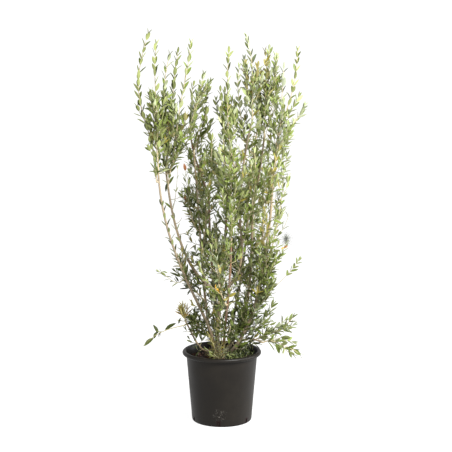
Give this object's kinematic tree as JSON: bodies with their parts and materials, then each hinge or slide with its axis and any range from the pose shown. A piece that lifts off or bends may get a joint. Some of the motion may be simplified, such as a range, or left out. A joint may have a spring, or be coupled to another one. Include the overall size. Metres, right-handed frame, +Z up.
{
  "type": "potted phillyrea",
  "caption": "Evergreen garden shrub with several slim upright stems and narrow paired leaves, growing in a round black nursery pot with a rolled rim.",
  "frame": {"origin": "centre of the pot's flat underside, where it stands", "axes": "+Z up along the pot's axis, +X to the right and +Y away as the plant is seen from its front"},
  "size_m": [0.6401, 0.5489, 1.4754],
  "materials": {
    "pot_plastic": "satin",
    "compost": "matte",
    "bark": "matte",
    "foliage": "satin"
  },
  "bodies": {
    "root": {"pot": "pot_plastic", "soil": "compost", "stem_main": "bark", "stem_left_outer": "bark", "stem_left_low": "bark", "stem_mid_left": "bark", "stem_right": "bark", "stem_right_outer": "bark", "stem_low_right": "bark", "stem_back": "bark", "stem_back_right": "bark", "stem_front": "bark", "bough_left": "bark", "bough_right": "bark", "bough_right_top": "bark", "bough_centre": "bark", "bough_right_mid": "bark", "bough_right_outer": "bark", "bough_back_left": "bark", "bough_back_right": "bark", "foliage_crown_left_spire": "foliage", "foliage_crown_left_tall": "foliage", "foliage_crown_left_main": "foliage", "foliage_crown_left_inner": "foliage", "foliage_crown_left_rear": "foliage", "foliage_crown_mid_left": "foliage", "foliage_crown_mid_tip": "foliage", "foliage_crown_mid_rear": "foliage", "foliage_crown_centre_left": "foliage", "foliage_crown_centre": "foliage", "foliage_crown_centre_rear": "foliage", "foliage_crown_top": "foliage", "foliage_crown_right_main": "foliage", "foliage_crown_right_rear": "foliage", "foliage_crown_right_front": "foliage", "foliage_crown_right_tall": "foliage", "foliage_crown_right_side": "foliage", "foliage_mid_left": "foliage", "foliage_mid_left_front": "foliage", "foliage_mid_front": "foliage", "foliage_mid_front_right": "foliage", "foliage_mid_right": "foliage", "foliage_mid_right_side": "foliage", "foliage_mid_back_left": "foliage", "foliage_mid_back_right": "foliage", "foliage_low_left": "foliage", "foliage_low_left_sprig": "foliage", "foliage_low_front": "foliage", "foliage_low_right": "foliage", "foliage_low_right_arch": "foliage", "foliage_low_centre": "foliage", "foliage_low_back": "foliage", "foliage_low_back_right": "foliage", "foliage_foot_inner_left": "foliage", "foliage_foot_inner_right": "foliage", "foliage_foot_front": "foliage", "foliage_foot_left": "foliage", "foliage_foot_left_trail": "foliage", "foliage_foot_right": "foliage", "foliage_foot_right_trail": "foliage"}
  },
  "joints": []
}
